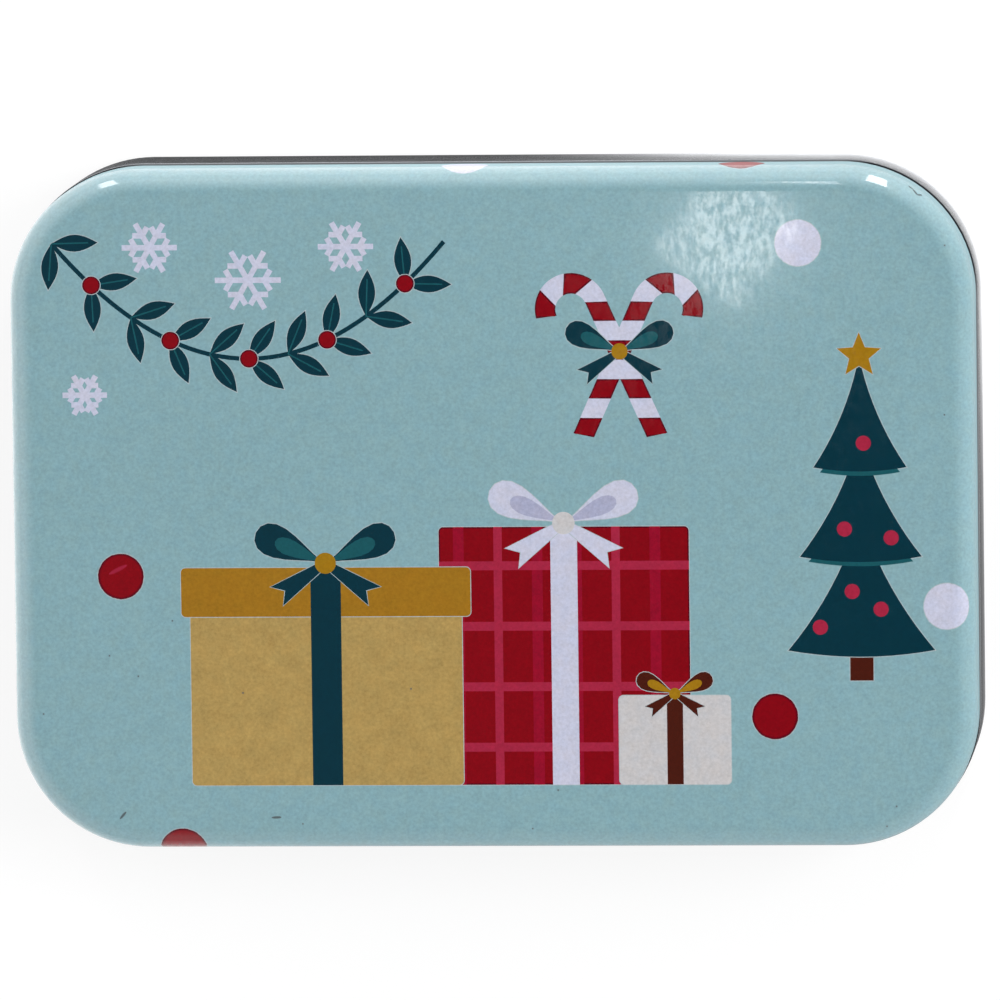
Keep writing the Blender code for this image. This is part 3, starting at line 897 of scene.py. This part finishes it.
def with_grain(finish, place, colour, mottle):
    """The colour with the grain of its ink, which each ink has a share of."""
    fine = finish.noise(place, FINE_GRAIN, 2.0, 0.6) - 0.5
    coarse = finish.noise(place, COARSE_GRAIN, 3.0, 0.6) - 0.5
    broad = finish.noise(place, BROAD_GRAIN, 1.0) - 0.5
    level = 1.0 + fine * (0.2 * mottle + 0.4) + coarse * (0.34 * mottle) + broad * 0.06
    warmth = finish.noise(place, WARM_GRAIN, 3.0) * WARMTH - WARMTH / 2.0
    return finish.stretched(colour, finish.vector(level + warmth, level, level - warmth))


def dark_wear(finish, flat):
    """1 on the dark specks and scratches."""
    dark = nearest(finish, flat, SPECKS).below(SPECK_RADIUS, SPECK_EDGE)
    for first, last in SCRATCHES:
        dark = dark.most(stroke_gap(finish, flat, first, last).below(SCRATCH_GAP, DARK_EDGE))
    return dark


def printed_finish(sizes, inks):
    """Printed tinplate under gloss varnish."""
    finish = Finish(bpy.data.materials.new("printed_lid"))
    place = finish.place()
    flat = flattened(finish, place, sizes)
    marks = finish.node("ShaderNodeAttribute", {"attribute_name": "ink"}, {})
    mottle = Wire(finish, marks.socket.node.outputs["Alpha"])
    colour = with_dots(finish, place, flat, marks, inks)
    # A painted highlight along a scratch on the left red dot
    pale = stroke_gap(finish, flat, *PALE_SCRATCH_HIGHLIGHT).below(SCRATCH_GAP, PALE_EDGE)
    colour = finish.blend(pale * PALE_COVER, colour, linear(inks.rose))
    colour = with_grain(finish, place, colour, mottle)
    dark = dark_wear(finish, flat)
    colour = finish.blend(dark * WEAR_COVER, colour, WEAR_COLOUR)
    # Painted shade in the groove under the lid's hem
    painted_shade, painted_shade_colour = groove_painted_shade(finish, place, sizes)

    wrinkles = finish.noise(finish.stretched(place, WRINKLE_STRETCH), WRINKLE_GRAIN, 4.0, 0.65)
    matt = ((wrinkles - MATT_FROM) * MATT_RISE).within()
    dull = finish.parts(place)[2].below(sizes.closed_height - SKIRT_DULL, SKIRT_EDGE)
    lie = finish.noise(place, LIE_GRAIN, 1.0)
    smudge = finish.noise(place, SMUDGE_GRAIN, 3.0, 0.7)
    roughness = 0.015 + smudge * 0.02 + matt * 0.1 + dark * 0.8
    return finish.surface({
        "Base Color": finish.blend(painted_shade, colour, painted_shade_colour),
        "Roughness": roughness.most(painted_shade).most(dull * SKIRT_ROUGHNESS),
        "Specular IOR Level": VARNISH_GLOSS,
        "Coat Weight": (1.0 - painted_shade.most(dull).most(dark)) * (1.0 - matt * MATT_COAT),
        "Coat Roughness": COAT_ROUGHNESS,
        "Normal": finish.bump(wrinkles + lie * LIE_DEPTH, WRINKLE_DEPTH),
    })


def tinplate_finish(sizes):
    """Bare tinplate: satin, with fine lines from its rolling and faint smudges."""
    finish = Finish(bpy.data.materials.new("bare_tinplate"))
    place = finish.place()
    lines = finish.noise(finish.stretched(place, LINE_STRETCH), LINE_GRAIN, 3.0, 0.7) - 0.5
    streaks = finish.noise(finish.stretched(place, STREAK_STRETCH), STREAK_GRAIN, 3.0, 0.6) - 0.5
    spots = finish.noise(place, SPOT_GRAIN, 4.0, 0.65) - 0.5
    speckle = finish.noise(place, SPECKLE_GRAIN, 2.0) - 0.5
    level = 1.0 + lines * 0.5 + streaks * 0.7 + spots * 0.1 + speckle * 0.1
    # Painted shade in the groove along the base's ledge
    painted_shade, painted_shade_colour = groove_painted_shade(finish, place, sizes)
    return finish.surface({
        "Base Color": finish.blend(painted_shade, finish.tinted(TINPLATE_COLOUR, level), painted_shade_colour),
        "Metallic": 1.0 - painted_shade,
        "Roughness": (0.22 + spots * 0.08 + lines * 0.12).most(painted_shade),
        "Specular Tint": TINPLATE_EDGE,
        "Normal": finish.bump(lines + speckle, LINE_DEPTH),
    })


# Stage

AIM = Vector((0.04, -0.09, 8.0)) * MM  # what the camera looks at
CAMERA_OFFSET = Vector((121.5, 150.3)) * MM  # to the right and to the far side
CAMERA_ROLL = -0.0125  # radians
CAMERA_LENS = 482.95  # in millimetres, as the sensor is
SENSOR_WIDTH = 36.0
FAR_CLIP = 100.0
FLOOR_SIZE = 8.0
FLOOR_GAP = 0.05 * MM
FLOOR_SEEN = (0.26, 0.26, 0.26, 1.0)  # its paper to the eye, with a glow that makes it white
FLOOR_GLOW = 0.78
FLOOR_LIT = (0.85, 0.85, 0.85, 1.0)  # and as it throws light back on the tin
CEILING = 0.1  # level of the soft light overhead
ROOM_RISE = 2.0  # how steeply the room darkens towards the ceiling, and by what power
ROOM_FALL = 0.75

# What gloss sees of the floor is a painted glow: brighter than the room on the same side, dimmer close to the
# tin, and with a painted shadow in a narrow band along its wall, which painted light from the upper right
# fills
FLOOR_LEVEL = 1.25
CLOSE = 4.0 * MM
CLOSE_LEVEL = 0.4
SHADE_WIDTH = 2.6 * MM
SHADE_EDGE = 0.12 * MM
SHADE_LEVEL = 0.12
SHADE_NEAR = 2.7  # how many times that level it has at the wall itself
SHADE_DEPTH = 0.45 * MM  # it loses one of those times over this distance
SHADE_FAR = 0.1  # and keeps at least this share of it
SHADE_RIGHT = 0.2
SHADE_FILL = 1.5
FILL_AZIMUTH = 40.0
FILL_POWER = 10.0

# Lamps: name, direction round the tin and above the horizon in degrees, distance, width, height,
# brightness, and whether gloss mirrors it
LAMPS = (
    ("key_softbox", 12.0, 45.0, 1.2, 0.6, 0.6, 5.0, False),
    ("glare_lamp", 232.8, 85.74, 1.5, 0.023, 0.026, 3.0, True),
    ("strip_lamp", 93.5, 63.0, 1.5, 0.02, 0.4, 3.0, True),
    ("tall_window", 72.0, 18.0, 1.2, 0.2, 0.9, 6.0, True),
    ("small_window", 114.0, 22.0, 1.2, 0.16, 0.6, 4.0, True),
)


def surroundings(right, far, studio):
    """What gloss mirrors at eye level, this share of the way to the right and to the far side."""
    window = far.most(0.0)
    left = (0.0 - right).most(0.0)
    return window * window * studio.window + left * left * studio.left_fill + studio.room


def aimed(place, target):
    """The turn that points a lamp or camera at a target with +Y up."""
    back = (place - target).normalized()
    right = Vector((0.0, 1.0, 0.0)).cross(back).normalized()
    return Matrix((right, back.cross(right), back)).transposed()


def add_lamp(name, azimuth, elevation, distance, width, height, brightness, mirrored):
    """A flat lamp of one brightness, facing the tin."""
    flat = heading(azimuth) * math.cos(math.radians(elevation))
    place = Vector((flat.x, flat.y, math.sin(math.radians(elevation)))) * distance
    turn = place.to_track_quat("Z", "Y").to_euler()
    bpy.ops.object.light_add(type="AREA", location=place, rotation=turn)
    lamp = bpy.context.object
    lamp.name = name
    lamp.data.name = name
    lamp.data.shape = "RECTANGLE"
    lamp.data.size = width
    lamp.data.size_y = height
    lamp.data.energy = brightness * math.pi * width * height
    lamp.visible_camera = False
    lamp.visible_glossy = mirrored


# Operators


class TIN_OT_make_base(bpy.types.Operator):
    """Draw the bare base: underside, foot, wall, ledge, neck and curled rim"""

    bl_idname = "tin.make_base"
    bl_label = "Make the base"

    def execute(self, context):
        sizes = context.scene.tin_sizes
        draft = Draft("drawn_base", sizes, sizes.foot, 0.0)
        draft.bend(sizes.foot, sizes.foot, 90.0, FOOT_STEPS)
        draft.run(0.0, sizes.shoulder_height - sizes.shoulder)
        draft.bend(sizes.shoulder, sizes.shoulder_height - sizes.shoulder, 90.0, SMALL_STEPS)
        root_inset = sizes.neck_inset - sizes.neck_root
        root_height = sizes.shoulder_height + sizes.neck_root
        draft.run(root_inset, sizes.shoulder_height)
        draft.bend(root_inset, root_height, -90.0, SMALL_STEPS)
        rim_height = BASE_HIGH.z - sizes.rim
        draft.run(sizes.neck_inset, rim_height)
        draft.bend(sizes.neck_inset + sizes.rim, rim_height, CURL_TURN, CURL_STEPS)
        draft.sweep()
        draft.close_panel(0.0, up=False)
        draft.piece.data.materials.append(tinplate_finish(sizes))
        draft.give_gauge(sizes, bare_slot=0)
        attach(draft.piece, "base")
        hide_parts("base")
        return {"FINISHED"}


class TIN_OT_make_lid(bpy.types.Operator):
    """Draw the lid: panel with its print, rolled edge, skirt and curled hem"""

    bl_idname = "tin.make_lid"
    bl_label = "Make the lid"

    def execute(self, context):
        sizes = context.scene.tin_sizes
        inks = context.scene.tin_inks
        roll_inset = sizes.lid_inset + sizes.roll
        hem_height = sizes.lid_seat + sizes.hem
        draft = Draft("printed_lid", sizes, roll_inset, sizes.closed_height)
        draft.bend(roll_inset, sizes.closed_height - sizes.roll, -90.0, ROLL_STEPS)
        draft.run(sizes.lid_inset, hem_height)
        draft.bend(sizes.lid_inset + sizes.hem, hem_height, -CURL_TURN, CURL_STEPS)
        draft.sweep()
        draft.close_panel(sizes.closed_height, up=True)
        lay_print(draft.piece, sizes, inks)
        draft.piece.data.materials.append(printed_finish(sizes, inks))
        draft.piece.data.materials.append(tinplate_finish(sizes))
        draft.give_gauge(sizes, bare_slot=1)
        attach(draft.piece, "lid")
        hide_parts("lid")
        return {"FINISHED"}


class TIN_OT_make_stage(bpy.types.Operator):
    """Set the pale floor, the lamps, the world and the camera"""

    bl_idname = "tin.make_stage"
    bl_label = "Make the stage"

    def execute(self, context):
        studio = context.scene.tin_studio
        bpy.ops.object.select_all(action="DESELECT")
        bpy.ops.mesh.primitive_plane_add(size=FLOOR_SIZE, location=(0.0, 0.0, -FLOOR_GAP))
        floor = context.object
        floor.name = "floor"
        floor.data.materials.append(self.floor_finish(context.scene.tin_sizes, studio))
        for name, azimuth, elevation, distance, width, height, brightness, mirrored in LAMPS:
            add_lamp(name, azimuth, elevation, distance, width, height, brightness * studio.lamps, mirrored)
        self.light_room(studio)
        self.add_camera(context, studio)
        context.scene.view_settings.view_transform = "Standard"
        return {"FINISHED"}

    def floor_finish(self, sizes, studio):
        """Pale paper that shows white to the eye and keeps a soft shadow. Gloss sees a painted glow in its
        place, with a painted shadow along the tin's wall.
        """
        finish = Finish(bpy.data.materials.new("floor_paper"))
        x, y, _ = finish.parts(finish.place())
        out_x, out_y = beyond_core(x, y, sizes)
        gap = finish.hypotenuse(out_x, out_y) - sizes.corner
        reach = finish.hypotenuse(x, y).most(MM)
        open_floor = surroundings(x / reach, y / reach, studio) * FLOOR_LEVEL
        open_floor = open_floor * ((gap / CLOSE).within() * (1.0 - CLOSE_LEVEL) + CLOSE_LEVEL)
        # Painted shadow along the tin's wall, filled by painted light from the upper right
        towards_fill = heading(FILL_AZIMUTH)
        fill = ((x * towards_fill.x + y * towards_fill.y) / reach).most(0.0)
        shade = finish.maths("POWER", fill, FILL_POWER) * SHADE_FILL
        shade = shade + (x / reach).most(0.0) * SHADE_RIGHT + SHADE_LEVEL
        shade = shade * (SHADE_NEAR - gap / SHADE_DEPTH).most(SHADE_FAR)
        mirrored = open_floor + gap.below(SHADE_WIDTH, SHADE_EDGE) * (shade - open_floor)

        rays = finish.rays()
        paper_colour = finish.blend(rays["Camera"], FLOOR_LIT, FLOOR_SEEN)
        paper = finish.node("ShaderNodeBsdfDiffuse", {}, {"Color": paper_colour})
        glow = finish.node("ShaderNodeEmission", {}, {"Strength": rays["Camera"] * FLOOR_GLOW})
        seen = finish.node("ShaderNodeAddShader", {}, {0: paper, 1: glow})
        image = finish.node("ShaderNodeEmission", {}, {"Strength": mirrored})
        share = rays["Glossy"].most(rays["Transmission"])
        both = finish.node("ShaderNodeMixShader", {}, {0: share, 1: seen, 2: image})
        finish.node("ShaderNodeOutputMaterial", {}, {"Surface": both})
        return finish.owner

    def light_room(self, studio):
        """White to the eye; for the tin, a room with a window on its far side under a dark ceiling."""
        world = bpy.data.worlds.new("studio")
        bpy.context.scene.world = world
        finish = Finish(world)
        direction = finish.node("ShaderNodeTexCoord", {}, {}, "Generated")
        x, y, rise = finish.parts(direction)
        reach = finish.hypotenuse(x, y).most(MM)
        fall = finish.maths("POWER", ((1.0 - rise) * ROOM_RISE).within(), ROOM_FALL)
        image = surroundings(x / reach, y / reach, studio) * fall
        rays = finish.rays()
        dome = (1.0 - rise).within() * studio.dome + CEILING
        level = rays["Glossy"] * (image - dome) + dome
        level = rays["Camera"] * (1.0 - level) + level
        values = {"Color": (1.0, 1.0, 1.0, 1.0), "Strength": level}
        background = finish.node("ShaderNodeBackground", {}, values)
        finish.node("ShaderNodeOutputWorld", {}, {"Surface": background})

    def add_camera(self, context, studio):
        """A long lens from far above, off to the upper right."""
        place = Vector((*CAMERA_OFFSET, studio.camera_height))
        turn = aimed(place, AIM) @ Matrix.Rotation(CAMERA_ROLL, 3, "Z")
        bpy.ops.object.camera_add(location=place, rotation=turn.to_euler())
        camera = context.object
        camera.name = "camera"
        camera.data.lens = CAMERA_LENS
        camera.data.sensor_width = SENSOR_WIDTH
        camera.data.clip_end = FAR_CLIP
        context.scene.camera = camera


class TIN_PT_sidebar(bpy.types.Panel):
    """The tin's pieces and its stage"""

    bl_idname = "TIN_PT_sidebar"
    bl_label = "Gift card tin"
    bl_space_type = "VIEW_3D"
    bl_region_type = "UI"
    bl_category = "Tin"

    def draw(self, context):
        scene = context.scene
        groups = (
            (scene.tin_sizes, ("tin.make_base",)),
            (scene.tin_inks, ("tin.make_lid",)),
            (scene.tin_studio, ("tin.make_stage",)),
        )
        for settings, operators in groups:
            box = self.layout.box()
            for name in type(settings).__annotations__:
                box.prop(settings, name)
            for operator in operators:
                box.operator(operator)


CLASSES = (
    TinSizes,
    PrintInks,
    StudioSettings,
    TIN_OT_make_base,
    TIN_OT_make_lid,
    TIN_OT_make_stage,
    TIN_PT_sidebar,
)


def register():
    for kind in CLASSES:
        bpy.utils.register_class(kind)
    bpy.types.Scene.tin_sizes = bpy.props.PointerProperty(type=TinSizes)
    bpy.types.Scene.tin_inks = bpy.props.PointerProperty(type=PrintInks)
    bpy.types.Scene.tin_studio = bpy.props.PointerProperty(type=StudioSettings)


def unregister():
    del bpy.types.Scene.tin_studio
    del bpy.types.Scene.tin_inks
    del bpy.types.Scene.tin_sizes
    for kind in reversed(CLASSES):
        bpy.utils.unregister_class(kind)


def main():
    """Make the tin and its stage."""
    register()
    bpy.ops.tin.make_base()
    bpy.ops.tin.make_lid()
    bpy.ops.tin.make_stage()


if __name__ == "__main__":
    main()
